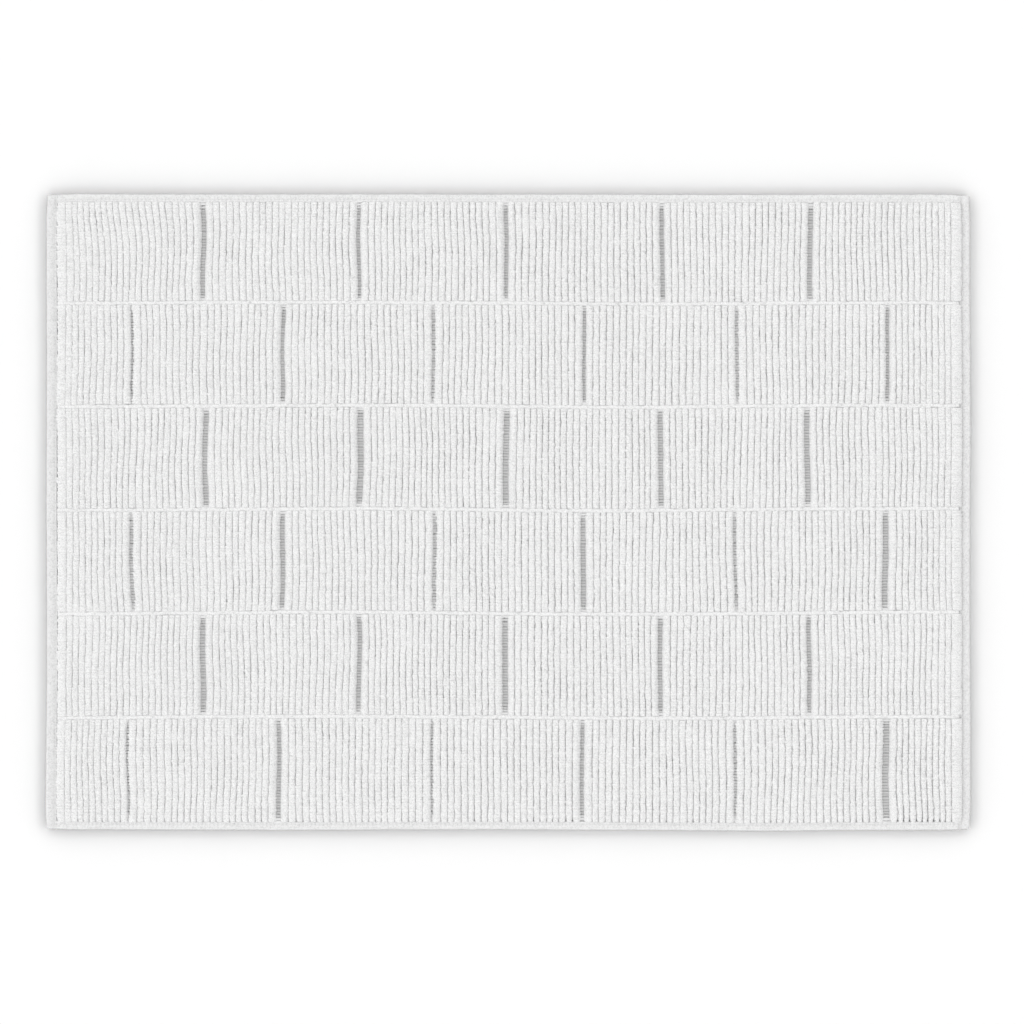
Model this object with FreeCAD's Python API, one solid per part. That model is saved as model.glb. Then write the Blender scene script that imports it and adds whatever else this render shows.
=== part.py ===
import FreeCAD, Part
import os

# Terry bath mat, lying flat. Millimetres. The origin is under the middle of the mat, on the
# floor. +X runs along the long side, +Y towards the back and +Z up through the pile.
#
# The mat is one woven cloth. A thin ground weave carries raised blocks of terry loops, laid out
# like bricks: rows run along X, and each row is offset by half a block from the next. Between
# two blocks of a row the cloth has no pile, and between two rows runs one narrow ridge of pile.
# The edges are folded over and held by a lockstitch seam on each side.

# Overall size of the finished mat
mat_length = 800.0
mat_width = 550.0

# Brick pattern of the pile: a row is this many blocks long, and every second row is offset.
# In odd rows the channels sit off their even spacing, left and right in turn, so that long and
# short blocks alternate. In even rows narrow and wide channels alternate.
row_count = 6
blocks_per_row = 6
odd_row_offset = 1.7
wide_channel = 6.5
narrow_channel = 4.2
ridge_width = 3.3
ridge_clearance = 0.3

# Thickness of each layer
cloth_thickness = 1.3
pile_height = 5.4
ridge_height = 4.2

# Ribs of loops that make up a block
rib_spacing = 5.6
valley_depth = 1.9

# Folded hems. The side hems close the short sides over their whole length, and the end hems
# close the long sides between them. Inside a hem the cloth is lifted by the fold below it.
side_hem_width = 8.5
end_hem_width = 6.0
fold_thickness = 1.1
ramp_length = 1.6
hem_clearance = 0.3

# Lockstitch seam of a hem: stitch length, thread, and distance from the hem's inner edge
stitch_length = 3.5
thread_width = 0.6
thread_height = 0.4
seam_inset = 1.4
thread_clearance = 0.05
groove_clearance = 0.2

# Sizes that follow from the ones above
hem_height = 2 * fold_thickness + cloth_thickness
knot_level = hem_height / 2
inner_half_length = mat_length / 2 - side_hem_width
inner_half_width = mat_width / 2 - end_hem_width
field_half_length = inner_half_length - ramp_length
field_half_width = inner_half_width - ramp_length
row_pitch = 2 * inner_half_width / row_count
block_pitch = 2 * inner_half_length / blocks_per_row


def write(shape, node):
    shape.exportStep(os.path.join("parts", node + ".step"))


def box(x_low, y_low, z_low, x_high, y_high, z_high):
    corner = FreeCAD.Vector(x_low, y_low, z_low)
    return Part.makeBox(x_high - x_low, y_high - y_low, z_high - z_low, corner)


def line(start, end):
    return Part.LineSegment(start, end).toShape()


def arc(start, middle, end):
    return Part.Arc(start, middle, end).toShape()


def lines_through(points):
    """Straight edges that close an outline through the points."""
    return [line(a, b) for a, b in zip(points, points[1:] + points[:1])]


def extruded(edges, along):
    return Part.Face(Part.Wire(edges)).extrude(along)


def frustum(low_half_size, z_low, high_half_size, z_high):
    """A block with four sloping sides, centred on the Z axis."""
    rings = []
    for (half_x, half_y), z in ((low_half_size, z_low), (high_half_size, z_high)):
        signs = ((-1, -1), (1, -1), (1, 1), (-1, 1))
        corners = [FreeCAD.Vector(sx * half_x, sy * half_y, z) for sx, sy in signs]
        rings.append(Part.Wire(lines_through(corners)))
    return Part.makeLoft(rings, True, True)


# Hems. A hem and its threads are drawn along the X axis, centred on x = 0, with the hem's outer
# edge at y = 0 and the mat on the +Y side, and are then turned round the mat to their own side.


class Hem:
    def __init__(self, name, length, width, distance, turn):
        self.name = name
        self.length = length
        self.width = width
        self.distance = distance
        self.turn = turn
        self.seam_y = width - seam_inset
        seam_length = length - 2 * seam_inset
        stitches = max(2, round(seam_length / stitch_length))
        pitch = seam_length / stitches
        self.holes = [-seam_length / 2 + i * pitch for i in range(stitches + 1)]

    def placed(self, shape):
        """Move a shape from the drawing position to the hem's own side of the mat."""
        shape.translate(FreeCAD.Vector(0, -self.distance, 0))
        shape.rotate(FreeCAD.Vector(0, 0, 0), FreeCAD.Vector(0, 0, 1), self.turn)
        return shape

    def hole_boxes(self):
        """One square hole for each place where the needle went through all the layers."""
        half = thread_width / 2 + thread_clearance
        low_y = self.seam_y - half
        high_y = self.seam_y + half
        return [box(x - half, low_y, 0, x + half, high_y, hem_height) for x in self.holes]

    def fold(self):
        """The cloth turned over its own edge: two layers joined by a rounded outer fold.

        The seam pulls its threads into the cloth, so both faces have a groove along it.
        """
        radius = hem_height / 2
        upper = hem_height - fold_thickness
        groove_outer = self.seam_y - thread_width / 2 - groove_clearance
        groove_inner = self.seam_y + thread_width / 2 + groove_clearance

        def point(y, z):
            return FreeCAD.Vector(-self.length / 2, y, z)

        def path(*places):
            points = [point(y, z) for y, z in places]
            return [line(a, b) for a, b in zip(points, points[1:])]

        under = path(
            (self.width, 0),
            (groove_inner, 0),
            (groove_inner, thread_height),
            (groove_outer, thread_height),
            (groove_outer, 0),
            (radius, 0),
        )
        outer_fold = arc(point(radius, 0), point(0, radius), point(radius, hem_height))
        over = path(
            (radius, hem_height),
            (groove_outer, hem_height),
            (groove_outer, hem_height - thread_height),
            (groove_inner, hem_height - thread_height),
            (groove_inner, hem_height),
            (self.width, hem_height),
        )
        pocket = path(
            (self.width, hem_height),
            (self.width, upper),
            (fold_thickness, upper),
            (fold_thickness, fold_thickness),
            (self.width, fold_thickness),
            (self.width, 0),
        )
        strip = extruded(under + [outer_fold] + over + pocket, FreeCAD.Vector(self.length, 0, 0))
        return strip.cut(Part.makeCompound(self.hole_boxes()))

    def thread(self, outside_z, inside_z):
        """A straight run from outside_z to inside_z, with a leg to the knots at each hole."""
        half = thread_width / 2
        y = self.seam_y - half
        outline = [FreeCAD.Vector(self.holes[0] - half, y, outside_z)]
        for x in self.holes:
            outline.append(FreeCAD.Vector(x - half, y, inside_z))
            outline.append(FreeCAD.Vector(x - half, y, knot_level))
            outline.append(FreeCAD.Vector(x + half, y, knot_level))
            outline.append(FreeCAD.Vector(x + half, y, inside_z))
        outline.append(FreeCAD.Vector(self.holes[-1] + half, y, outside_z))
        # the end legs go straight on from the run's ends, with no corner where they meet it
        del outline[-2]
        del outline[1]
        return extruded(lines_through(outline), FreeCAD.Vector(0, thread_width, 0))

    def write_pieces(self):
        write(self.placed(self.fold()), self.name)
        needle_thread = self.thread(hem_height, hem_height - thread_height)
        bobbin_thread = self.thread(0, thread_height)
        write(self.placed(needle_thread), self.name + "_needle_thread")
        write(self.placed(bobbin_thread), self.name + "_bobbin_thread")


# Ground cloth: flat on the floor in the middle, lifted by one fold all round inside the hems.


def ground_cloth(hems):
    field = (field_half_length, field_half_width)
    inner = (inner_half_length, inner_half_width)
    edge_x = mat_length / 2 - fold_thickness
    edge_y = mat_width / 2 - fold_thickness
    rim_top = fold_thickness + cloth_thickness
    rim = box(-edge_x, -edge_y, fold_thickness, edge_x, edge_y, rim_top)
    base = frustum(field, 0, inner, fold_thickness)
    dish = frustum(field, cloth_thickness, inner, rim_top)
    cloth = rim.fuse(base).cut(dish)
    holes = [hem.placed(hole) for hem in hems for hole in hem.hole_boxes()]
    return cloth.cut(Part.makeCompound(holes)).removeSplitter()


# Pile blocks: ribs of loops side by side, each with a rounded top.


def row_line(k):
    """The line between row k and row k + 1, where row 1 lies at the back."""
    return inner_half_width - k * row_pitch


def row_extent(row):
    """Lowest and highest y of the pile in a row, clear of the ridges and hems beside it."""
    gap = ridge_width / 2 + ridge_clearance
    edge = field_half_width - hem_clearance
    y_low = -edge if row == row_count else row_line(row) + gap
    y_high = edge if row == 1 else row_line(row - 1) - gap
    return y_low, y_high


def channels(row):
    """Centre and width of each pile-free channel of a row, from left to right."""
    found = []
    if row % 2 == 1:
        for i in range(1, blocks_per_row):
            side = -1 if i % 2 == 1 else 1
            x = (i - blocks_per_row / 2) * block_pitch + side * odd_row_offset
            found.append((x, wide_channel))
    else:
        for i in range(blocks_per_row):
            x = (i + 0.5 - blocks_per_row / 2) * block_pitch
            found.append((x, narrow_channel if i % 2 == 0 else wide_channel))
    return found


def block_extents(row):
    """Lowest and highest x of each block of a row, from left to right."""
    edge = field_half_length - hem_clearance
    sides = [-edge]
    for centre, width in channels(row):
        sides += [centre - width / 2, centre + width / 2]
    sides.append(edge)
    return list(zip(sides[0::2], sides[1::2]))


def pile_block(x_low, x_high, y_low, y_high):
    top = cloth_thickness + pile_height
    valley = top - valley_depth
    rib_count = max(2, round((x_high - x_low) / rib_spacing))
    rib_width = (x_high - x_low) / rib_count

    def point(x, z):
        return FreeCAD.Vector(x, y_low, z)

    outline = [line(point(x_low, valley), point(x_low, cloth_thickness))]
    outline.append(line(point(x_low, cloth_thickness), point(x_high, cloth_thickness)))
    outline.append(line(point(x_high, cloth_thickness), point(x_high, valley)))
    for i in range(rib_count):
        right = x_high - i * rib_width
        left = x_high - (i + 1) * rib_width
        outline.append(arc(point(right, valley), point((right + left) / 2, top), point(left, valley)))
    return extruded(outline, FreeCAD.Vector(0, y_high - y_low, 0))


# Row ridges: one narrow band of pile between two rows, along the whole field, round on top.


def row_ridge(k):
    x = -(field_half_length - hem_clearance)
    middle = row_line(k)
    half = ridge_width / 2
    top = cloth_thickness + ridge_height
    shoulder = top - half

    def point(y, z):
        return FreeCAD.Vector(x, middle + y, z)

    outline = [
        line(point(-half, cloth_thickness), point(half, cloth_thickness)),
        line(point(half, cloth_thickness), point(half, shoulder)),
        arc(point(half, shoulder), point(0, top), point(-half, shoulder)),
        line(point(-half, shoulder), point(-half, cloth_thickness)),
    ]
    return extruded(outline, FreeCAD.Vector(-2 * x, 0, 0))


os.makedirs("parts", exist_ok=True)

end_hem_length = 2 * inner_half_length
hems = [
    Hem("front_hem", end_hem_length, end_hem_width, mat_width / 2, 0),
    Hem("right_hem", mat_width, side_hem_width, mat_length / 2, 90),
    Hem("back_hem", end_hem_length, end_hem_width, mat_width / 2, 180),
    Hem("left_hem", mat_width, side_hem_width, mat_length / 2, 270),
]
write(ground_cloth(hems), "ground_cloth")
for hem in hems:
    hem.write_pieces()

for row in range(1, row_count + 1):
    y_low, y_high = row_extent(row)
    for number, (x_low, x_high) in enumerate(block_extents(row), start=1):
        write(pile_block(x_low, x_high, y_low, y_high), f"pile_row{row}_block{number}")

for k in range(1, row_count):
    write(row_ridge(k), f"row_ridge_{k}")
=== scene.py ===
import math

import bpy
import numpy as np
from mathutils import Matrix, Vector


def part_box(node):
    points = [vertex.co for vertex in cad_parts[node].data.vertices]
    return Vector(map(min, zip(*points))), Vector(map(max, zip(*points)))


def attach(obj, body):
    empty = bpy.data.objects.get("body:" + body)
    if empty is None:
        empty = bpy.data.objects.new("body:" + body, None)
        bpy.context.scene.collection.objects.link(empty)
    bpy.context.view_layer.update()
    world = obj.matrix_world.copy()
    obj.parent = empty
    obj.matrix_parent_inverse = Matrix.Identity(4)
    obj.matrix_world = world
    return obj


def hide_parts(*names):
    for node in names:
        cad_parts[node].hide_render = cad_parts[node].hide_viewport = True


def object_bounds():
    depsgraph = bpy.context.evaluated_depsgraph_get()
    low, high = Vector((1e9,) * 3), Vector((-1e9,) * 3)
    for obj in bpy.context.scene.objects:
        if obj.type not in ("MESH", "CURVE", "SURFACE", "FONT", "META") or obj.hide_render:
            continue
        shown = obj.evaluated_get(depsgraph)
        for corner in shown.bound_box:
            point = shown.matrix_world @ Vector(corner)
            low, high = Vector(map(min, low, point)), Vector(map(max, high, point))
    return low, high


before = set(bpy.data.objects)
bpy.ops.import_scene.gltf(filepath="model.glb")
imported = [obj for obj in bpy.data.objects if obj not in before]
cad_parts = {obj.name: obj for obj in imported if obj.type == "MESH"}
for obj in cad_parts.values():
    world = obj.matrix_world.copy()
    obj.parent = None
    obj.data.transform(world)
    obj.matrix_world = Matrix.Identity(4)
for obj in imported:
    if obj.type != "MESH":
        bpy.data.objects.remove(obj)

cad_low, cad_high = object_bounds()
MM = 0.001


# --- Ground cloth ---------------------------------------------------------------------------
# The base of the mat is one plain cotton cloth, woven flat, with its warp along the long side.
# It lies on the floor and rises a little where its edges go into the turned hems.


def ripple(x, y, seed, wavelength, height):
    """A smooth uneven surface over the mat: a few waves that cross, the same ones each time."""
    random = np.random.default_rng(seed)
    waves = 7
    total = np.zeros(np.broadcast(x, y).shape)
    for angle, stretch, phase in random.random((waves, 3)):
        turn = math.pi * angle
        length = wavelength * (0.6 + 0.9 * stretch)
        along = x * math.cos(turn) + y * math.sin(turn)
        total += np.sin(2 * math.pi * (along / length + phase))
    return total * height * math.sqrt(2 / waves)


def fade(distance, reach):
    """1 where the distance is nothing, falling smoothly to almost 0 at twice the reach."""
    return np.exp(-((distance / reach) ** 2))


def lie(points):
    """Moves points of the square design to where a real cloth lies, a millimetre or two off."""
    half_length, half_width = cad_high[0], cad_high[1]
    x, y = points[..., 0], points[..., 1]
    inside = 1 - np.clip(np.abs(y) / half_width, 0, 1) ** 3
    front = np.clip(-y / half_width, 0, 1)
    # the rows lie a little towards the back, in a long wave, and sag at the front of the left end
    back_shift, sway, sway_length, sway_start = 1.7 * MM, 0.8 * MM, 0.56, -0.17
    dy = back_shift + sway * np.cos(2 * math.pi * (x - sway_start) / sway_length)
    sag, sag_reach = 2.2 * MM, 0.045
    dy = inside * (dy - sag * front * np.exp(-(x + half_length) / sag_reach))
    dx = ripple(x, y, seed=3, wavelength=0.34, height=0.2 * MM)
    for place, reach, push in ((0.27, 0.09, 1.5 * MM), (-0.26, 0.1, -0.6 * MM)):
        dx = dx + push * fade(x - place, reach)
    # the front edge lies a little further out, most of all near its right end
    front_out, bulge, bulge_place, bulge_reach = 1.05 * MM, 0.8 * MM, 0.22, 0.06
    dy = dy - (front_out + bulge * fade(x - bulge_place, bulge_reach)) * front**5
    # so do the two ends, more towards the front
    right_out, right_front_out, left_front_out = 0.5 * MM, 0.5 * MM, 0.9 * MM
    outward = np.where(x > 0, right_out + right_front_out * front**2, -left_front_out * front**2)
    dx = dx + outward * np.clip(np.abs(x) / half_length, 0, 1) ** 5
    # a corner is pulled in by the thickness of the cloth folded into it
    pull, corner_reach = 0.9 * MM, 0.014
    to_corner = np.hypot(half_length - np.abs(x), half_width - np.abs(y))
    corner = pull * fade(to_corner, corner_reach)
    moved = points.copy()
    moved[..., 0] += dx - np.sign(x) * corner
    moved[..., 1] += dy + ripple(x, y, seed=4, wavelength=0.3, height=0.2 * MM) - np.sign(y) * corner
    return moved


def make_piece(name, points, quads, caps=()):
    """A mesh object from points, four-sided faces and a few faces with more sides."""
    mesh = bpy.data.meshes.new(name)
    loops = np.concatenate([np.asarray(quads).ravel(), *map(np.asarray, caps)]).astype(np.int32)
    sizes = np.array([4] * len(quads) + [len(cap) for cap in caps], np.int32)
    starts = np.concatenate([[0], np.cumsum(sizes)[:-1]]).astype(np.int32)
    mesh.vertices.add(len(points))
    mesh.vertices.foreach_set("co", np.ascontiguousarray(points, np.float32).ravel())
    mesh.loops.add(len(loops))
    mesh.loops.foreach_set("vertex_index", loops)
    mesh.polygons.add(len(sizes))
    mesh.polygons.foreach_set("loop_start", starts)
    mesh.polygons.foreach_set("use_smooth", sizes == 4)
    mesh.update(calc_edges=True)
    mesh.validate()
    piece = bpy.data.objects.new(name, mesh)
    bpy.context.scene.collection.objects.link(piece)
    return piece


def grid_quads(rows, columns, first=0):
    """Faces of a grid of points counted row by row from the point number first."""
    corner = (np.arange(rows - 1)[:, None] * columns + np.arange(columns - 1)[None, :]).ravel()
    quads = np.stack([corner, corner + 1, corner + columns + 1, corner + columns], axis=1)
    return quads + first


def tube_quads(rows, around):
    """Faces of a tube: each row of points closes on itself."""
    row = np.arange(rows - 1)[:, None] * around
    here, there = np.arange(around)[None, :], (np.arange(around)[None, :] + 1) % around
    quads = np.stack([row + here, row + there, row + there + around, row + here + around], axis=-1)
    return quads.reshape(-1, 4)


def lay_flat_uv(piece):
    """A plan-view map for the surface, with what faces down kept apart in a strip of its own."""
    mesh = piece.data
    points = np.empty(len(mesh.vertices) * 3, np.float32)
    mesh.vertices.foreach_get("co", points)
    points = points.reshape(-1, 3)
    low, high = points.min(axis=0), points.max(axis=0)
    plan = (points - low)[:, :2] / (high - low)[:2]
    vertex_of = np.empty(len(mesh.loops), np.int32)
    mesh.loops.foreach_get("vertex_index", vertex_of)
    normals = np.empty(len(mesh.polygons) * 3, np.float32)
    mesh.polygons.foreach_get("normal", normals)
    totals = np.empty(len(mesh.polygons), np.int32)
    mesh.polygons.foreach_get("loop_total", totals)
    down, many_down, margin = -0.2, 0.25, 0.01
    faces_down = np.repeat(normals.reshape(-1, 3)[:, 2] < down, totals)
    uv = plan[vertex_of]
    top_share = 0.5 if faces_down.mean() > many_down else 0.94
    uv[:, 1] *= np.where(faces_down, 1 - 2 * margin - top_share, top_share - margin)
    uv[faces_down, 1] += top_share + margin
    mesh.uv_layers.new(name="OFBake")
    mesh.uv_layers["OFBake"].data.foreach_set("uv", uv.astype(np.float32).ravel())


class Value:
    """A socket of a material's nodes, so that shader maths is written as Python arithmetic."""

    def __init__(self, socket):
        self.socket = socket

    def node(self, kind, settings=None, sockets=None, output=0):
        """Adds a node of any kind next to this one and gives one of its outputs."""
        tree = self.socket.id_data
        made = tree.nodes.new(kind)
        for name, setting in (settings or {}).items():
            setattr(made, name, setting)
        for name, given in (sockets or {}).items():
            if isinstance(given, Value):
                tree.links.new(given.socket, made.inputs[name])
            else:
                made.inputs[name].default_value = given
        return Value(made.outputs[output])

    def math(self, operation, first, second=0.0):
        return self.node("ShaderNodeMath", {"operation": operation}, {0: first, 1: second})

    def __add__(self, other):
        return self.math("ADD", self, other)

    __radd__ = __add__

    def __sub__(self, other):
        return self.math("SUBTRACT", self, other)

    def __rsub__(self, other):
        return self.math("SUBTRACT", other, self)

    def __mul__(self, other):
        return self.math("MULTIPLY", self, other)

    __rmul__ = __mul__


def new_material(name):
    """A cotton material with nothing in it yet: the material, its shader and the place on it."""
    material = bpy.data.materials.new(name)
    material.use_nodes = True
    tree = material.node_tree
    shader = tree.nodes["Principled BSDF"]
    place = Value(tree.nodes.new("ShaderNodeTexCoord").outputs["Object"])
    return material, shader, place


def noise(place, scale, stretch=(1.0, 1.0, 1.0), detail=2.0):
    """Uneven grey from 0 to 1, with about scale lumps to the metre, longer along small stretch."""
    vector = place.node(
        "ShaderNodeVectorMath", {"operation": "MULTIPLY"}, {0: place, 1: stretch}
    )
    return place.node(
        "ShaderNodeTexNoise", {}, {"Vector": vector, "Scale": scale, "Detail": detail}
    )


def finish_cotton(shader, colour, shade, height, bump_distance, sheen, darkest=0.9):
    """Undyed bleached cotton: matt, a little fuzzy, its colour shaded by shade from 0 to 1."""
    darker = tuple(c * darkest for c in colour)
    mix = shade.node(
        "ShaderNodeMix",
        {"data_type": "RGBA"},
        {0: shade, 6: (*darker, 1.0), 7: (*colour, 1.0)},
        output=2,
    )
    bump = height.node(
        "ShaderNodeBump", {}, {"Strength": 1.0, "Distance": bump_distance, "Height": height}
    )
    tree = mix.socket.id_data
    tree.links.new(mix.socket, shader.inputs["Base Color"])
    tree.links.new(bump.socket, shader.inputs["Normal"])
    shader.inputs["Roughness"].default_value = 0.95
    shader.inputs["Specular IOR Level"].default_value = 0.2
    shader.inputs["Sheen Weight"].default_value = sheen
    shader.inputs["Sheen Roughness"].default_value = 0.6


def stripes(place, axis, spacing):
    """Rounded ridges from 0 to 1 across one axis, a spacing apart, such as yarns side by side."""
    parts = place.node("ShaderNodeSeparateXYZ", {}, {0: place}, output=axis)
    angle = parts * (math.pi / spacing)
    return angle.math("ABSOLUTE", angle.math("SINE", angle))


def ground_material():
    """Painted shade: a dark grey colour, darker still between the flat yarns, stands in for the shade
    in the channels between the pile blocks.
    """
    colour, warp_spacing, weft_spacing = (0.52, 0.52, 0.52), 1.1 * MM, 0.9 * MM
    material, shader, place = new_material("ground_weave")
    warp = stripes(place, "Y", warp_spacing)
    weft = stripes(place, "X", weft_spacing)
    fibre = noise(place, 2600.0)
    weave = warp * 0.55 + weft * 0.45
    shade = 0.45 + weave * 0.35 + noise(place, 60.0) * 0.2
    finish_cotton(shader, colour, shade, weave + fibre * 0.35, 0.35 * MM, 0.1)
    return material


def build_ground_cloth():
    """One closed sheet, squeezed thin and lifted off the floor inside the hems."""
    low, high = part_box("ground_cloth")
    pile_low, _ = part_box("pile_row1_block1")
    hem_low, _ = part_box("right_hem")
    _, end_hem_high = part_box("front_hem")
    thickness = pile_low[2] - low[2]
    lift = high[2] - thickness
    ramp = 1.6 * MM
    inner = np.array([hem_low[0], -end_hem_high[1]])
    step = 4 * MM

    def lines(edge, inside):
        """Grid lines along one side, with one at each end of the ramp into the hem."""
        flat = inside - ramp
        count = round(2 * flat / step)
        middle = np.linspace(-flat, flat, count + 1)
        return np.concatenate([[-edge, -inside], middle, [inside, edge]])

    xs, ys = lines(high[0], inner[0]), lines(high[1], inner[1])
    x, y = np.meshgrid(xs, ys)
    into_hem = np.maximum(np.abs(x) - inner[0], np.abs(y) - inner[1])
    in_hem = np.clip(1 + into_hem / ramp, 0, 1)
    lifted, squeezed = 0.5, 0.55
    rise = lifted * lift * in_hem
    under = np.stack([x, y, rise], axis=-1)
    over = np.stack([x, y, rise + thickness * (1 - squeezed * in_hem)], axis=-1)
    rows, columns = x.shape
    count = rows * columns
    points = lie(np.concatenate([under.reshape(-1, 3), over.reshape(-1, 3)]))
    quads = [grid_quads(rows, columns)[:, ::-1], grid_quads(rows, columns, count)]
    numbers = np.arange(count).reshape(rows, columns)
    for side, outward in (
        (numbers[0], 1), (numbers[:, -1], 1), (numbers[-1], -1), (numbers[:, 0], -1)
    ):
        a, b = side[:-1], side[1:]
        wall = np.stack([a, b, b + count, a + count], axis=1)
        quads.append(wall if outward == 1 else wall[:, ::-1])
    cloth = make_piece("ground_cloth_visual", points, np.concatenate(quads))
    lay_flat_uv(cloth)
    cloth.data.materials.append(ground_material())
    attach(cloth, "root")
    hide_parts("ground_cloth")
    return cloth


ground_cloth = build_ground_cloth()


# --- Channel yarns --------------------------------------------------------------------------
# Where a row has no pile, its pile yarns lie flat and cross the channel side by side, bound into
# the ground cloth by thin wefts that run across them.


def rows_of_blocks():
    """Names of the pile blocks, row by row from the back, each row from left to right."""
    rows = []
    row = 1
    while f"pile_row{row}_block1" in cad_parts:
        names = []
        while f"pile_row{row}_block{len(names) + 1}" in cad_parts:
            names.append(f"pile_row{row}_block{len(names) + 1}")
        rows.append(names)
        row += 1
    return rows


def tubes(paths, radii_across, radii_up, around=8):
    """Points and faces of closed tubes along paths of shape (tubes, steps, 3), lying in X or Y."""
    count, steps, _ = paths.shape
    ahead = np.gradient(paths, axis=1)
    ahead /= np.linalg.norm(ahead, axis=-1, keepdims=True)
    across = np.cross(ahead, [0.0, 0.0, 1.0])
    across /= np.linalg.norm(across, axis=-1, keepdims=True)
    up = np.cross(across, ahead)
    turn = -np.arange(around) * 2 * math.pi / around
    ring = paths[:, :, None, :] + (
        across[:, :, None, :] * (radii_across[..., None] * np.cos(turn))[..., None]
        + up[:, :, None, :] * (radii_up[..., None] * np.sin(turn))[..., None]
    )
    size = steps * around
    first = np.arange(count)[:, None, None] * size
    quads = (tube_quads(steps, around)[None] + first).reshape(-1, 4)
    start = (np.arange(around)[None, :] + first[:, :, 0]).tolist()
    end = [[n + size - around for n in cap][::-1] for cap in start]
    return ring.reshape(-1, 3), quads, start + end


LOOP_SPACING = 2.45 * MM


def loop_edges(low, high, seed):
    """Where one pile yarn ends and the next begins along a row's ribs, a little uneven."""
    count = round((high - low) / LOOP_SPACING)
    edges = np.linspace(low, high, count + 1)
    edges[1:-1] += np.random.default_rng(seed).normal(0, 0.12 * MM, count - 1)
    return edges


# Weaving and washing move the channels of a row a little. Each row from the back has moved this
# far to the right at its left end and at its right end, and its channels are this much wider.
ROW_MOVES = {
    1: (-1.0 * MM, 1.5 * MM, -0.6 * MM),
    2: (0.0, 1.5 * MM, -0.3 * MM),
    3: (1.5 * MM, -1.0 * MM, 0.7 * MM),
    4: (0.5 * MM, 0.5 * MM, 0.0),
    5: (-1.5 * MM, 0.5 * MM, 0.0),
    6: (-3.0 * MM, 0.5 * MM, -0.5 * MM),
}


def channel_moves(row, count):
    """How far each channel of a row has moved to the right, and how much wider it is."""
    at_left, at_right, wider = ROW_MOVES[row]
    moved = np.linspace(at_left, at_right, count)
    width_spread, corner_pull = 0.35 * MM, 2.0 * MM
    widened = wider + np.random.default_rng(700 + row).normal(0, width_spread, count)
    # the cloth was pulled out towards its front right corner
    if row == len(ROW_MOVES):
        widened[-1] += corner_pull
    return moved, widened


def build_channel_yarns(row, names):
    """The yarns of all channels of one row, as one piece."""
    random = np.random.default_rng(500 + row)
    all_points, all_quads, all_caps, total = [], [], [], 0

    def add(points, quads, caps):
        nonlocal total
        all_points.append(points)
        all_quads.append(quads + total)
        all_caps.extend([[n + total for n in cap] for cap in caps])
        total += len(points)

    moves, _ = channel_moves(row, len(names) - 1)
    for moved, left, right in zip(moves, names, names[1:]):
        x_low, x_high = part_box(left)[1][0] + moved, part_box(right)[0][0] + moved
        (_, y_low, cloth_top), (_, y_high, _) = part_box(left)
        # a narrow channel is less deep, and every channel rises towards its two ends
        widest_narrow = 5.5 * MM
        if x_high - x_low < widest_narrow:
            cover, yarn_lift, weft_lift, rise = 0.46, 0.9 * MM, 0.7 * MM, 1.05 * MM
        else:
            cover, yarn_lift, weft_lift, rise = 0.34, 0.0, 0.0, 2.4 * MM
        edges = loop_edges(y_low, y_high, seed=row)
        edges = np.concatenate([[y_low - LOOP_SPACING], edges, [y_high + LOOP_SPACING]])
        middles, widths = (edges[1:] + edges[:-1]) / 2, np.diff(edges)
        to_end = np.clip(np.minimum(middles - y_low, y_high - middles), 0, None)[:, None]
        end_reach = 4.5 * MM

        # flat pile yarns across the channel, their ends hidden under the pile
        steps, yarn_height, reach_under = 9, 0.45 * MM, 1.2 * MM
        wander, crown, unevenness, thickness_spread = 0.18 * MM, 0.30 * MM, 0.08 * MM, 0.12
        share = np.linspace(0, 1, steps)
        arch = np.sin(math.pi * share)
        x = x_low - reach_under + share * (x_high - x_low + 2 * reach_under)
        count = len(middles)
        y = middles[:, None] + random.normal(0, wander, (count, 1)) * arch
        lift = crown * arch**2 + yarn_lift
        z = cloth_top + lift + random.normal(0, unevenness, (count, 1))
        z = z + rise * fade(to_end, end_reach)
        path = np.stack(np.broadcast_arrays(x[None, :], y, z), axis=-1)
        thick = 1 + thickness_spread * random.normal(size=(count, steps))
        fuller_at_end = 0.12 * np.exp(-to_end / end_reach)
        across = widths[:, None] * (cover + fuller_at_end) * thick
        add(*tubes(path, across, yarn_height * np.ones_like(across)))

        # thin wefts along the channel, up and down between the pile yarns
        weft_spacing, weft_radius, weft_height, weave = 1.3 * MM, 0.28 * MM, 0.12 * MM, 0.16 * MM
        weft_count = max(2, round((x_high - x_low) / weft_spacing))
        weft_x = x_low + (np.arange(weft_count) + 0.5) * (x_high - x_low) / weft_count
        weft_steps = 2 * count + 1
        y = np.interp(np.arange(weft_steps) / 2, np.arange(count + 1), edges)
        over = np.where(np.arange(weft_steps) % 2 == 0, 1.0, -1.0)
        weft_rise = np.interp(y, middles, weft_lift + rise * fade(to_end[:, 0], end_reach))
        z = cloth_top + weft_height + weave * over + weft_rise
        stray = random.normal(0, 0.08 * MM, (weft_count, weft_steps))
        path = np.stack(np.broadcast_arrays(weft_x[:, None] + stray, y, z), axis=-1)
        radius = np.full((weft_count, weft_steps), weft_radius)
        add(*tubes(path, radius, radius, around=6))

    points = lie(np.concatenate(all_points))
    yarns = make_piece(f"channel_yarns_row{row}", points, np.concatenate(all_quads), all_caps)
    lay_flat_uv(yarns)
    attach(yarns, "root")
    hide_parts("ground_cloth")
    return yarns


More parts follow.
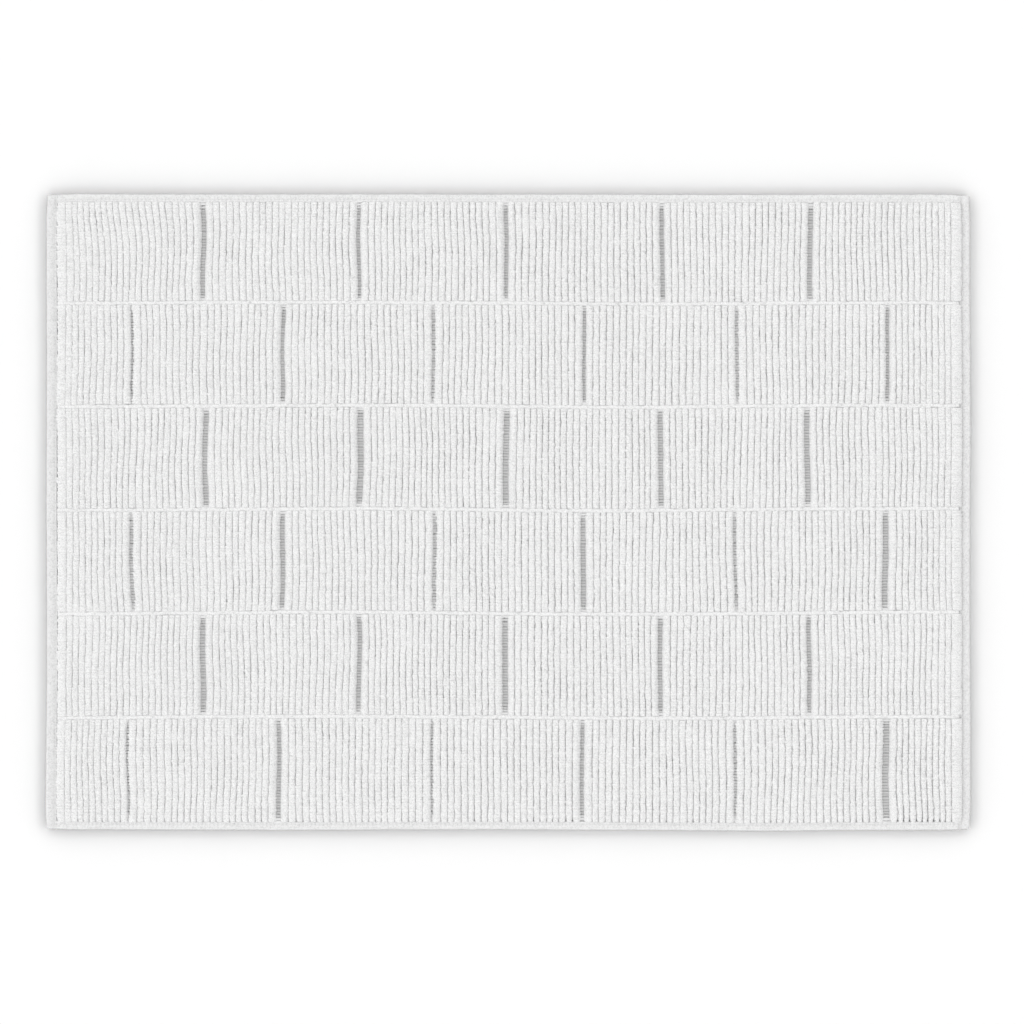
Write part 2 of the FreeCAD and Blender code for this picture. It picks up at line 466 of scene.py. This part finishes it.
def yarn_material():
    """Cotton yarn with painted shade: its colour is darker the deeper it lies between the pile blocks.
    """
    colour, low, high = (0.90, 0.90, 0.90), 2.3 * MM, 5.2 * MM
    material, shader, place = new_material("channel_yarn")
    strands = stripes(place, "Y", 0.5 * MM)
    fibre = noise(place, 3000.0, stretch=(0.35, 1.0, 1.0))
    height = strands * 0.5 + fibre * 0.6
    # painted shade: darker low in the channel, lighter towards the height of the pile
    level = place.node("ShaderNodeSeparateXYZ", {}, {0: place}, output="Z")
    shade_by_depth = level.node(
        "ShaderNodeMapRange", {}, {"Value": level, "From Min": low, "From Max": high}
    )
    shade = shade_by_depth * 0.9 + (noise(place, 180.0) - 0.3) * 0.3 + strands * 0.1
    finish_cotton(shader, colour, shade, height, 0.2 * MM, 0.1, darkest=0.66)
    return material


channel_yarn_look = yarn_material()
for row, names in enumerate(rows_of_blocks(), start=1):
    yarns = build_channel_yarns(row, names)
    yarns.data.materials.append(channel_yarn_look)


# --- Pile blocks ----------------------------------------------------------------------------
# Each block is a set of ribs of soft cotton loops. A pile yarn runs along the long side of the
# mat and stands up in a loop at every rib, so a rib is a row of loops side by side, one for each
# yarn. Neighbouring ribs lean on each other and leave only a thin valley between them.

RIB_SPACING = 5.6 * MM


def knots_smooth(length_positions, count, spacing, spread, random):
    """count uneven lines over the same positions, each bending about once every spacing."""
    start, end = length_positions.min(), length_positions.max()
    knots = max(4, round((end - start) / spacing) + 1)
    values = random.normal(0, spread, (count, knots))
    at = (length_positions - start) / (end - start) * (knots - 1)
    cell = np.clip(at.astype(int), 0, knots - 2)
    share = at - cell
    share = share * share * (3 - 2 * share)
    return values[:, cell] * (1 - share) + values[:, cell + 1] * share


def rib_places(y_low, y_high, edges):
    """Places along the ribs at which a block has points: five to a loop, more at the ends."""
    per_loop = 5
    end_steps = np.array([0.0, 0.06, 0.22, 0.5, 0.9, 1.4]) * MM
    first, last = y_low + end_steps[-1], y_high - end_steps[-1]
    share = np.arange(per_loop) / per_loop
    inner = (edges[:-1, None] + np.diff(edges)[:, None] * share).ravel()
    clear = 0.2 * MM
    inner = inner[(inner > first + clear) & (inner < last - clear)]
    return np.concatenate([y_low + end_steps, inner, (y_high - end_steps)[::-1]])


# How a block's outer side lies: how boxy its section is, how far its foot spreads into the
# channel, how far its loops lean out over a hem, and how much they stray.
SIDE_SHAPES = {
    "left of wide channel": (1.6, 1.3 * MM, 0.0, 0.7),
    "right of wide channel": (1.35, 1.5 * MM, 0.0, 0.1),
    "left of narrow channel": (2.4, 1.4 * MM, 0.0, 0.3),
    "right of narrow channel": (2.8, 0.2 * MM, 0.0, 1.1),
    "left hem": (2.1, 0.0, 1.6 * MM, 0.5),
    "right hem": (1.5, 0.0, 4.0 * MM, 0.3),
}


def rib_lines(x_low, x_high, y, to_end, sides, moves, seed, random):
    """The lines between a block's ribs and at its two sides: a row of x for each, along y."""
    rib_count = round((x_high - x_low) / RIB_SPACING)
    # the outer ribs are a little wider than the rest, and no two ribs are quite alike
    outer_width, width_spread = 1.2, 0.05
    widths = np.ones(rib_count)
    widths[0] = widths[-1] = outer_width
    widths += random.normal(0, width_spread, rib_count)
    # the foot of each side spreads into its channel
    foot_random, foot_spread = np.random.default_rng(9000 + seed), 0.25 * MM
    left_foot, right_foot = (SIDE_SHAPES[side][1] for side in sides)
    left_foot += foot_random.normal(0, foot_spread) * (left_foot > 0)
    right_foot += foot_random.normal(0, foot_spread) * (right_foot > 0)
    x_first, x_last = x_low - left_foot + moves[0], x_high + right_foot + moves[1]
    line_x = x_first + (x_last - x_first) * np.concatenate([[0], np.cumsum(widths) / widths.sum()])
    # each line wanders by itself, less so at the two sides
    outer_share = 0.6
    own = knots_smooth(y, rib_count + 1, 16 * MM, 0.11 * MM, random)
    own += knots_smooth(y, rib_count + 1, 3.5 * MM, 0.10 * MM, random)
    own[[0, -1]] *= outer_share
    # a channel closes in a little towards the ends of its row
    close_in = 0.9 * MM * fade(to_end, 4.5 * MM)
    own[0] -= close_in * (left_foot > 0)
    own[-1] += close_in * (right_foot > 0)
    lines = line_x[:, None] + own
    # neighbours bend together, but not beside the hems
    from_hem = np.minimum(line_x - cad_low[0], cad_high[0] - line_x)[:, None]
    free = 1 - fade(from_hem, 24 * MM)
    stiffness = 0.55
    bend = ripple(stiffness * lines, y[None, :], seed=11, wavelength=0.08, height=0.5 * MM)
    # the sewing pulled the ribs over towards the left end of the back hem
    pull, pull_x, pull_width, pull_start, pull_length = 3.4 * MM, -0.325, 0.045, 0.225, 0.04
    to_back = np.clip((y - pull_start) / pull_length, 0, 1)[None, :] ** 1.5
    bend = bend - pull * to_back * fade(lines - pull_x, pull_width)
    return lines + free * bend


def valley_shares(y, to_end, centre, corner, is_front_end, random):
    """How deep the valleys beside each rib are, as a share of the pile's height."""
    usual, shallowest, deepest = 0.57, 0.2, 0.9
    depth = usual * (1 + knots_smooth(y, len(centre), 9 * MM, 0.2, random))
    # towards the left end the pile is flatter, and towards the ridges the valleys fill up
    depth = depth * (1 - 0.16 * np.clip(-centre / 0.25, 0, 1))
    depth = depth * (1 - 0.2 * fade(to_end, 4.0 * MM))
    depth = depth + 0.2 * corner
    # beside the side hems the ribs are pressed together, at the front hem they open out
    from_hem = np.minimum(centre - cad_low[0], cad_high[0] - centre)
    pressed = 0.5 * fade(from_hem, 26 * MM)
    opened = (0.22 + 0.3 * corner) * fade(to_end, 2.4 * MM)
    opened = opened * is_front_end
    return np.clip(depth * (1 - pressed) + opened, shallowest, deepest)


def rib_section(rib_count, sides):
    """The section of each rib of a block, from its left line to its right line.

    Gives how far across and how high each point is, then whether it belongs to the outer side
    of the block, and how much it strays and leans there."""
    steps, usual_power = 10, 3.0
    turn = math.pi * (1 - np.arange(steps + 1) / steps)
    out, up = np.cos(turn), np.sin(turn)
    power = np.full((rib_count, steps + 1), usual_power)
    outer, stray, lean = (np.zeros((rib_count, steps + 1)) for _ in range(3))
    for rib, sign, side in ((0, -1, sides[0]), (-1, 1, sides[1])):
        there = sign * out > 0.01
        side_power, _, side_lean, side_stray = SIDE_SHAPES[side]
        outer[rib, there] = 1.0
        power[rib, there] = side_power
        stray[rib, there] = side_stray
        lean[rib, there] = sign * side_lean
    across = np.sign(out) * np.abs(out) ** (2 / power)
    height = np.clip(up, 0, 1) ** (2 / power)
    return across, height, outer, stray, lean


def block_faces(rows, across):
    """Faces of a block: its ribbed top, its two ends, and the flat underside between them."""
    numbers = np.arange(rows * across).reshape(rows, across)
    back_end = [numbers[-2, 0], numbers[-2, -1]] + numbers[-1][::-1].tolist()
    front_end = numbers[0].tolist() + [numbers[1, -1], numbers[1, 0]]
    middle = np.stack(
        [numbers[1:-2, 0], numbers[1:-2, -1], numbers[2:-1, -1], numbers[2:-1, 0]], axis=1
    )
    quads = np.concatenate([grid_quads(rows, across), middle[:, ::-1]])
    return quads, [front_end[::-1], back_end[::-1]]


def build_pile_block(name, row, lean_front, lean_back, sides, moves, seed):
    """One block of ribs, with what its left and right sides stand beside and how far they moved."""
    random = np.random.default_rng(seed)
    (x_low, y_low, floor), (x_high, y_high, top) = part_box(name)
    edges = loop_edges(y_low, y_high, seed=row)
    y = rib_places(y_low, y_high, edges)
    to_end = np.minimum(y - y[0], y[-1] - y)
    is_front = y < (y_low + y_high) / 2
    lines = rib_lines(x_low, x_high, y, to_end, sides, moves, seed, random)
    half = np.diff(lines, axis=0) / 2
    centre = lines[:-1] + half
    rib_count = len(centre)

    # how far each place is from the rib's end, and how high and wide the round end leaves it
    end_radius, end_narrow, end_reach = 0.8 * MM, 0.16, 1.5 * MM
    near_end = np.clip(1 - to_end / end_radius, 0, 1)
    end_height = np.sqrt(np.clip(1 - near_end**2, 0, 1))
    # in the front right corner the ribs stand apart
    corner_x, corner_y, corner_length, corner_width, apart = 0.36, -0.24, 0.04, 0.06, 0.26
    from_corner = ((centre - corner_x) / corner_length) ** 2
    corner = np.exp(-from_corner - ((y[None, :] - corner_y) / corner_width) ** 2)
    end_width = 1 - (end_narrow + apart * corner) * fade(to_end, end_reach)

    # the loops: a crease between one yarn and the next, each loop its own height and lean
    loop = np.clip(np.searchsorted(edges, y, side="right") - 1, 0, len(edges) - 2)
    share = np.clip((y - edges[loop]) / np.diff(edges)[loop], 0, 1)
    crease = np.abs(2 * share - 1) ** 2.5 * (1 - near_end)
    crease_depth, crease_narrow, twist = 0.55 * MM, 0.06, 0.16 * MM
    loops = len(edges) - 1
    loop_height = random.normal(0, 0.19 * MM, (rib_count, loops))
    loop_lean = random.normal(0, 0.24 * MM, (rib_count, loops))
    loop_width = random.normal(0, 0.05, (rib_count, loops))
    rib_height = random.normal(0, 0.10 * MM, (rib_count, 1))
    height = top + rib_height + loop_height[:, loop]
    height = height + ripple(centre, y[None, :], seed=12, wavelength=0.06, height=0.13 * MM)
    height = height - crease_depth * crease
    is_hem_end = is_front & (lean_front > lean_back)
    depth = valley_shares(y, to_end, centre, corner, is_hem_end, random)
    valley = top - depth * (top - floor)

    # one column of points for each place in a section, one row for each place along the rib
    u, h, outer, side_loose, side_lean = rib_section(rib_count, sides)
    base = np.where(outer[..., None] > 0, floor, valley[:, None, :])
    base = floor + (base - floor) * end_height
    peak = floor + (height - floor) * end_height
    points_across = u.shape[1]
    fuzz = random.normal(0, 0.1 * MM, (2, rib_count, points_across, len(y))) * h[None, ..., None]
    strands = knots_smooth(y, rib_count * points_across, 14 * MM, 0.13 * MM, random)
    strands = strands.reshape(rib_count, points_across, len(y)) * h[..., None]
    z = base + (peak[:, None, :] - base) * h[..., None]
    z = z + (fuzz[0] + strands) * end_height
    swell = 1 + loop_width[:, loop] - crease_narrow * crease
    x = u[..., None] * (half * swell * end_width)[:, None, :]
    twisted = twist * np.sin(2 * math.pi * share)
    x = x + (loop_lean[:, loop] + twisted)[:, None, :] * h[..., None] + fuzz[1]
    # the outer loops stray into the channel, or lean over the hem from the height of its edge up
    stray = np.abs(random.normal(0.25 * MM, 0.45 * MM, (rib_count, loops)))[:, loop]
    stray = stray * (1 - crease) * end_height
    x = x + (np.sign(u) * side_loose)[..., None] * (stray[:, None, :] * np.sin(math.pi * h)[..., None])
    hem_height = 0.4
    x = x + (side_lean * np.clip(h / hem_height, 0, 1))[..., None] * end_height
    x = x + centre[:, None, :]
    # the lines between ribs are shared, and at the block's two sides they stand on the cloth
    x[:, 0], x[:, -1] = lines[:-1], lines[1:]
    shared = np.minimum(z[:-1, -1], z[1:, 0])
    z[:-1, -1] = z[1:, 0] = shared

    # rib ends: each one a little longer or shorter, and leaning out over a hem
    above = np.clip((z - floor) / (hem_height * (top - floor)), 0, 1)
    near = np.exp(-to_end / (2.2 * MM))
    end_shift = random.normal(0, 0.22 * MM, (rib_count, 2))
    slide = np.where(is_front, end_shift[:, :1] - lean_front, end_shift[:, 1:] + lean_back) * near
    y_all = y[None, None, :] + slide[:, None, :] * above

    columns = np.stack(np.broadcast_arrays(x, y_all, z), axis=-1)
    rest = columns[:, 1:].reshape(-1, len(y), 3)
    surface = np.concatenate([columns[0, :1], rest]).transpose(1, 0, 2)
    quads, caps = block_faces(*surface.shape[:2])
    block = make_piece(name + "_loops", lie(surface.reshape(-1, 3)), quads, caps)
    lay_flat_uv(block)
    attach(block, "root")
    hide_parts(name)
    return block


def loop_material():
    """Twisted cotton yarn in loops, with specks of shade between its fibres."""
    colour = (0.93, 0.93, 0.93)
    material, shader, place = new_material("terry_loops")
    yarn = stripes(place, "Y", LOOP_SPACING / 2)
    ply = stripes(
        place.node("ShaderNodeVectorRotate", {}, {"Vector": place, "Angle": math.radians(28)}),
        "Y",
        0.55 * MM,
    )
    fibre = noise(place, 3200.0, stretch=(0.4, 1.0, 1.0))
    lumps = noise(place, 700.0)
    specks = noise(place, 1250.0, stretch=(0.9, 1.0, 1.0), detail=1.0)
    height = yarn * 0.4 + ply * 0.3 + fibre * 0.4 + lumps * 0.4 + specks * 0.7
    shade = 0.8 + (specks - 0.5) * 4.6 + (noise(place, 26.0) - 0.5) * 0.25 + (fibre - 0.5) * 0.6
    finish_cotton(shader, colour, shade, height, 0.36 * MM, 0.15, darkest=0.76)
    return material


def build_pile():
    """Every block of every row, each with its own seed."""
    look = loop_material()
    rows = rows_of_blocks()
    for row, names in enumerate(rows, start=1):
        to_ridge, to_front_hem, to_back_hem = 0.9 * MM, 1.8 * MM, 1.2 * MM
        front = to_front_hem if row == len(rows) else to_ridge
        back = to_back_hem if row == 1 else to_ridge
        moved, widened = channel_moves(row, len(names) - 1)
        left_moves = np.append(0.0, moved + widened / 2)
        right_moves = np.append(moved - widened / 2, 0.0)
        for number, name in enumerate(names, start=1):
            # the channels of even rows are narrow and wide by turns, all others are wide
            narrow_left = row % 2 == 0 and number % 2 == 0
            narrow_right = row % 2 == 0 and number % 2 == 1
            left_side = f"right of {'narrow' if narrow_left else 'wide'} channel"
            right_side = f"left of {'narrow' if narrow_right else 'wide'} channel"
            if number == 1:
                left_side = "left hem"
            if number == len(names):
                right_side = "right hem"
            sides = left_side, right_side
            moves = left_moves[number - 1], right_moves[number - 1]
            seed = 1000 + 20 * row + number
            block = build_pile_block(name, row, front, back, sides, moves, seed)
            block.data.materials.append(look)


build_pile()


# --- Row ridges -----------------------------------------------------------------------------
# Between two rows a narrow band of pile yarns loops at every rib place without a break, which
# gives one low ridge of loops from hem to hem.


def build_row_ridge(number):
    """One low ridge of loops, its ends hidden in the side hems."""
    name = f"row_ridge_{number}"
    random = np.random.default_rng(700 + number)
    (x_low, y_low, floor), (x_high, y_high, _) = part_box(name)
    below_pile, into_hem, step, end_radius = 0.15 * MM, 1.4 * MM, 0.5 * MM, 2 * MM
    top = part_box("pile_row1_block1")[1][2] - below_pile
    x = np.arange(x_low - into_hem, x_high + into_hem, step)
    half, middle = (y_high - y_low) / 2, (y_low + y_high) / 2
    beat = np.abs(np.sin(math.pi * x / LOOP_SPACING)) ** 0.7
    near_end = np.clip(1 - np.minimum(x - x[0], x[-1] - x) / end_radius, 0, 1)
    round_end = np.sqrt(1 - near_end**2)
    around = 13
    turn = math.pi * (1 - np.arange(around) / (around - 1))
    lumps = knots_smooth(x, around, 1.4 * MM, 0.24 * MM, random).T
    sway = knots_smooth(x, 1, 2.8 * MM, 0.2 * MM, random)[0]
    # between two loops the ridge is a little lower and narrower
    between_lower, usual_width, loop_wider, fullness = 0.2 * MM, 1.27, 0.06, 0.7
    tall = (top - floor - between_lower * (1 - beat)) * round_end
    wide = half * (usual_width + loop_wider * beat) * (0.5 + 0.5 * round_end)
    up = np.sin(turn)
    y = middle + sway[:, None] + wide[:, None] * np.cos(turn) + lumps[:, ::-1] * up
    z = floor + tall[:, None] * np.clip(up, 0, 1) ** fullness + lumps * up
    surface = np.stack(np.broadcast_arrays(x[:, None], y, z), axis=-1)
    rows, across, _ = surface.shape
    numbers = np.arange(rows * across).reshape(rows, across)
    base = np.stack([numbers[:-1, 0], numbers[:-1, -1], numbers[1:, -1], numbers[1:, 0]], axis=1)
    quads = np.concatenate([grid_quads(rows, across)[:, ::-1], base])
    caps = [numbers[0].tolist(), numbers[-1][::-1].tolist()]
    ridge = make_piece(name + "_loops", lie(surface.reshape(-1, 3)), quads, caps)
    lay_flat_uv(ridge)
    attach(ridge, "root")
    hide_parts(name)
    return ridge


def ridge_material():
    """Cotton loops, their strands side by side across the ridge."""
    colour = (0.91, 0.91, 0.91)
    material, shader, place = new_material("ridge_loops")
    strand = stripes(place, "Y", 0.8 * MM)
    fibre = noise(place, 3200.0, stretch=(0.4, 1.0, 1.0))
    lumps = noise(place, 500.0, stretch=(0.6, 1.0, 1.0))
    height = strand * 0.4 + fibre * 0.4 + lumps * 0.5
    specks = noise(place, 1100.0, detail=1.0)
    # the specks in the colour are painted shade between the fibres, as on the pile
    shade = 0.7 + (specks - 0.5) * 4.2 + (fibre - 0.5) * 0.5
    finish_cotton(shader, colour, shade, height, 0.25 * MM, 0.15, darkest=0.8)
    return material


ridge_look = ridge_material()
for number in range(1, len(rows_of_blocks())):
    ridge = build_row_ridge(number)
    ridge.data.materials.append(ridge_look)


# --- Hems -----------------------------------------------------------------------------------
# Each edge of the cloth is turned over itself and sewn down. The fold is soft and round at the
# outside, and the seam pulls it thin near its inner edge. Side hems run past the end hems.

STITCH = 3.5 * MM
SEAM_INSET = 1.4 * MM
HEM_SIDES = {"front": (0, 1), "right": (90, 0), "back": (180, 1), "left": (270, 0)}


def turned(points, degrees):
    """Turns points about the mat's upright axis."""
    angle = math.radians(degrees)
    x = points[..., 0] * math.cos(angle) - points[..., 1] * math.sin(angle)
    y = points[..., 0] * math.sin(angle) + points[..., 1] * math.cos(angle)
    return np.stack([x, y, points[..., 2]], axis=-1)


def hem_sizes(side):
    """Length, width, height and distance from the middle of the mat of one hem."""
    low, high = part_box(side + "_hem")
    axis = HEM_SIDES[side][1]
    length, width = high[1 - axis] - low[1 - axis], high[axis] - low[axis]
    return length, width, high[2], max(abs(low[axis]), abs(high[axis]))


def needle_places(length):
    """Where the needle went through along a hem, counted from its middle."""
    seam = length - 2 * SEAM_INSET
    stitches = round(seam / STITCH)
    return np.linspace(-seam / 2, seam / 2, stitches + 1)


def seam_dip(x, length):
    """From 1 at a needle hole to 0 between two holes."""
    places = needle_places(length)
    spacing = places[1] - places[0]
    inside = np.clip((places[-1] - np.abs(x)) / spacing + 0.5, 0, 1)
    return inside * np.cos(math.pi * (x - places[0]) / spacing) ** 6


def hem_section(side, width, height):
    """The section of a hem in the order y then z, with y counted from its outer edge.

    It goes from the fold's underside round the outside and over to the inner edge."""
    seam = width - SEAM_INSET
    drawn_height, tucked_under = 3.5, 1.5
    if HEM_SIDES[side][1] == 0:
        y = [6.2, 3.6, 1.8, 0.7, 0.2, 0.05, 0.15, 0.55, 1.4, 3.0, 4.4, 5.4]
        z = [0.0, 0.0, 0.0, 0.0, 0.2, 0.8, 1.75, 2.8, 3.4, 3.6, 3.55, 3.4, 3.2, 2.9, 2.65, 3.15, 3.6]
        before_seam, past_seam, inner_edge = 0.6 * MM, 0.6 * MM, width + 0.6 * MM
    else:
        y = [4.4, 2.6, 1.6, 0.6, 0.2, 0.05, 0.15, 0.5, 1.2, 1.9, 2.4, 3.2]
        z = [0.0, 0.0, 0.0, 0.0, 0.2, 0.8, 1.75, 2.75, 3.3, 3.55, 3.4, 3.6, 3.7, 3.75, 3.6, 4.1, 4.5]
        before_seam, past_seam = 0.5 * MM, 0.6 * MM
        inner_edge = width + (1.5 * MM if side == "back" else 1.1 * MM)
    at_seam = [seam - before_seam, seam, seam + past_seam, inner_edge, inner_edge]
    y = np.concatenate([[width], np.array(y) * MM, at_seam])
    z = np.array([*z, tucked_under]) * MM * height / (drawn_height * MM)
    return y, z


def build_hem(side):
    """One hem, as its section drawn along the edge of the mat."""
    length, width, height, distance = hem_sizes(side)
    degrees = HEM_SIDES[side][0]
    random = np.random.default_rng(800 + degrees)
    step = 0.55 * MM
    x = np.arange(-length / 2, length / 2 + 0.2 * MM, step)
    x = x * (length / 2) / x[-1]
    y, z = hem_section(side, width, height)
    seam_column = 14
    around = len(y)
    y_all = np.repeat(y[None, :], len(x), axis=0)
    z_all = np.repeat(z[None, :], len(x), axis=0)
    # softness: the fold swells and sinks a little along its length, and dips at each stitch
    top_from, outside_to, outside_swell = 1.0 * MM, 2 * MM, 0.7
    top_side = (z > top_from)[None, :]
    swell = knots_smooth(x, 3, 9 * MM, 0.10 * MM, random)
    z_all += np.where(top_side, swell[0][:, None], 0)
    y_all += np.where((y < outside_to)[None, :], outside_swell * swell[1][:, None], 0)
    stitch_dip, dip_columns = 0.8 * MM, 1.2
    columns = np.arange(around)
    near_seam = fade(columns - seam_column, dip_columns) * (columns > seam_column - 4)
    z_all -= stitch_dip * seam_dip(x, length)[:, None] * near_seam[None, :]
    # the ends are tucked in and round off
    end_radius, end_lower, end_narrower, tucked_from = 1.6 * MM, 1.1 * MM, 0.6 * MM, 3 * MM
    to_end = np.minimum(x - x[0], x[-1] - x)
    near_end = np.clip(1 - to_end / end_radius, 0, 1)[:, None]
    z_all = np.where(top_side, z_all - end_lower * near_end**2, z_all)
    y_all = np.where((y < tucked_from)[None, :], y_all + end_narrower * near_end**2, y_all)
    points = np.stack([np.broadcast_to(x[:, None], y_all.shape), y_all - distance, z_all], axis=-1)
    points = lie(turned(points.reshape(-1, 3), degrees))
    quads = tube_quads(len(x), around)
    last = (len(x) - 1) * around
    caps = [list(range(around)), [last + n for n in range(around)][::-1]]
    hem = make_piece(side + "_hem_fold", points, quads[:, ::-1], caps)
    lay_flat_uv(hem)
    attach(hem, "root")
    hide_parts(side + "_hem")
    return hem


def hem_material(name, colour, along, across):
    """Plain weave of fine yarns, seen along and across the hem."""
    warp_spacing, weft_spacing = 0.85 * MM, 1.15 * MM
    material, shader, place = new_material(name)
    warp = stripes(place, across, warp_spacing)
    weft = stripes(place, along, weft_spacing)
    fibre = noise(place, 3000.0)
    lumps = noise(place, 260.0)
    specks = noise(place, 1000.0, detail=1.0)
    height = warp * 0.55 + weft * 0.6 + fibre * 0.3 + lumps * 0.4 + specks * 0.4
    shade = 0.45 + (lumps - 0.5) * 1.0 + (specks - 0.5) * 2.6 + weft * 0.45
    finish_cotton(shader, colour, shade, height, 0.3 * MM, 0.12, darkest=0.76)
    return material


side_hem_look = hem_material("side_hem_weave", (0.86, 0.86, 0.86), "Y", "X")
end_hem_look = hem_material("end_hem_weave", (0.89, 0.89, 0.89), "X", "Y")
hems = {}
for side, (_, axis) in HEM_SIDES.items():
    hems[side] = build_hem(side)
    hems[side].data.materials.append(side_hem_look if axis == 0 else end_hem_look)


# --- Sewing threads -------------------------------------------------------------------------
# Two cotton threads close each hem in a lockstitch: the needle thread lies on top, the bobbin
# thread underneath, and they lock inside the cloth at each needle hole.


def build_thread(side, kind):
    """One thread of one hem, bending down into the cloth at each needle hole."""
    length, width, height, distance = hem_sizes(side)
    degrees, axis = HEM_SIDES[side]
    places = needle_places(length)
    per_stitch = 10
    steps = (len(places) - 1) * per_stitch + 1
    x = np.linspace(places[0], places[-1], steps)
    bend = np.abs(np.sin(math.pi * np.arange(steps) / per_stitch)) ** 0.45
    radius = 0.27 * MM
    if kind == "needle":
        seam_height = (0.76 if axis == 0 else 0.98) * height
        above_cloth, into_hole = 0.32 * MM, 0.7 * MM
        z = seam_height + above_cloth * bend - into_hole * (1 - bend)
    else:
        above_floor, into_hole = 0.02 * MM, 0.5 * MM
        z = radius + above_floor + into_hole * (1 - bend)
    random = np.random.default_rng(900 + degrees)
    sway = knots_smooth(x, 1, 5 * MM, 0.06 * MM, random)[0]
    y = width - SEAM_INSET - distance + sway
    path = np.stack(np.broadcast_arrays(x, y, z), axis=-1)[None]
    thickness = np.full((1, steps), radius)
    points, quads, caps = tubes(path, thickness, thickness, around=7)
    points = lie(turned(points, degrees))
    name = f"{side}_hem_{kind}_thread"
    thread = make_piece(name + "_stitches", points, quads, caps)
    lay_flat_uv(thread)
    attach(thread, "root")
    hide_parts(name)
    return thread


def thread_material():
    """Thread of twisted cotton."""
    colour = (0.82, 0.82, 0.82)
    material, shader, place = new_material("sewing_thread")
    ply = stripes(
        place.node("ShaderNodeVectorRotate", {}, {"Vector": place, "Angle": math.radians(40)}),
        "Y",
        0.3 * MM,
    )
    shade = 0.4 + ply * 0.4 + noise(place, 400.0) * 0.2
    finish_cotton(shader, colour, shade, ply, 0.06 * MM, 0.05)
    return material


thread_look = thread_material()
for side in HEM_SIDES:
    for kind in ("needle", "bobbin"):
        thread = build_thread(side, kind)
        thread.data.materials.append(thread_look)


# --- Floor, light and camera ----------------------------------------------------------------
# A plain white floor under an even, soft white light from all round, seen from straight above.

FLOOR_ALBEDO = 0.12


def build_floor():
    """A square of floor a hair below the mat, out to beyond what the camera sees."""
    half, under = 4.0, -0.3 * MM
    corners = [(x * half, y * half, under) for x, y in ((-1, -1), (1, -1), (1, 1), (-1, 1))]
    mesh = bpy.data.meshes.new("floor")
    mesh.from_pydata(corners, [], [(0, 1, 2, 3)])
    floor = bpy.data.objects.new("floor", mesh)
    bpy.context.scene.collection.objects.link(floor)
    material = bpy.data.materials.new("floor_paint")
    material.use_nodes = True
    shader = material.node_tree.nodes["Principled BSDF"]
    shader.inputs["Base Color"].default_value = (FLOOR_ALBEDO, FLOOR_ALBEDO, FLOOR_ALBEDO, 1)
    shader.inputs["Roughness"].default_value = 1.0
    shader.inputs["Specular IOR Level"].default_value = 0.0
    mesh.materials.append(material)
    return floor


def add_sun(name, elevation, azimuth, spread, level):
    """A far soft lamp that gives level times the brightness of the sky on what lies flat."""
    lamp = bpy.data.lights.new(name, "SUN")
    lamp.angle = math.radians(spread)
    lamp.energy = level * math.pi / math.sin(math.radians(elevation))
    sun = bpy.data.objects.new(name, lamp)
    bpy.context.scene.collection.objects.link(sun)
    sun.rotation_euler = (0, math.radians(90 - elevation), math.radians(azimuth))
    return sun


def build_light(floor):
    """An even sky with a soft lamp on the left, and low lamps all round that light the floor."""
    world = bpy.data.worlds.new("studio")
    world.use_nodes = True
    background = world.node_tree.nodes["Background"]
    sky, key, floor_level = 1.0, 0.14, 1.01
    background.inputs["Color"].default_value = (1, 1, 1, 1)
    background.inputs["Strength"].default_value = sky
    bpy.context.scene.world = world
    add_sun("left_lamp", elevation=42, azimuth=172, spread=60, level=key)
    floor_only = bpy.data.collections.new("floor_only")
    floor_only.objects.link(floor)
    needed = floor_level / FLOOR_ALBEDO - sky - key
    low_share, low_lamps = 0.82, 12
    lamps = [add_sun("floor_top_lamp", 90, 0, 170, needed * (1 - low_share))]
    for number in range(low_lamps):
        azimuth = 360 / low_lamps * (number + 0.5)
        level = needed * low_share / low_lamps
        lamps.append(add_sun(f"floor_lamp_{number + 1}", 16, azimuth, 22, level))
    for lamp in lamps:
        lamp.light_linking.receiver_collection = floor_only


def build_camera():
    """Straight above, framed a little wider than the mat's long side."""
    lens, sensor, view_width = 100.0, 36.0, 0.888
    camera = bpy.data.cameras.new("camera")
    camera.lens, camera.sensor_width = lens, sensor
    camera.clip_start, camera.clip_end = 0.05, 20.0
    seen = bpy.data.objects.new("camera", camera)
    bpy.context.scene.collection.objects.link(seen)
    hem_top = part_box("right_hem")[1][2]
    right, front = 3.5 * MM, -0.4 * MM
    seen.location = (right, front, hem_top + view_width * lens / sensor)
    bpy.context.scene.camera = seen


build_light(build_floor())
build_camera()
bpy.context.scene.view_settings.view_transform = "Standard"
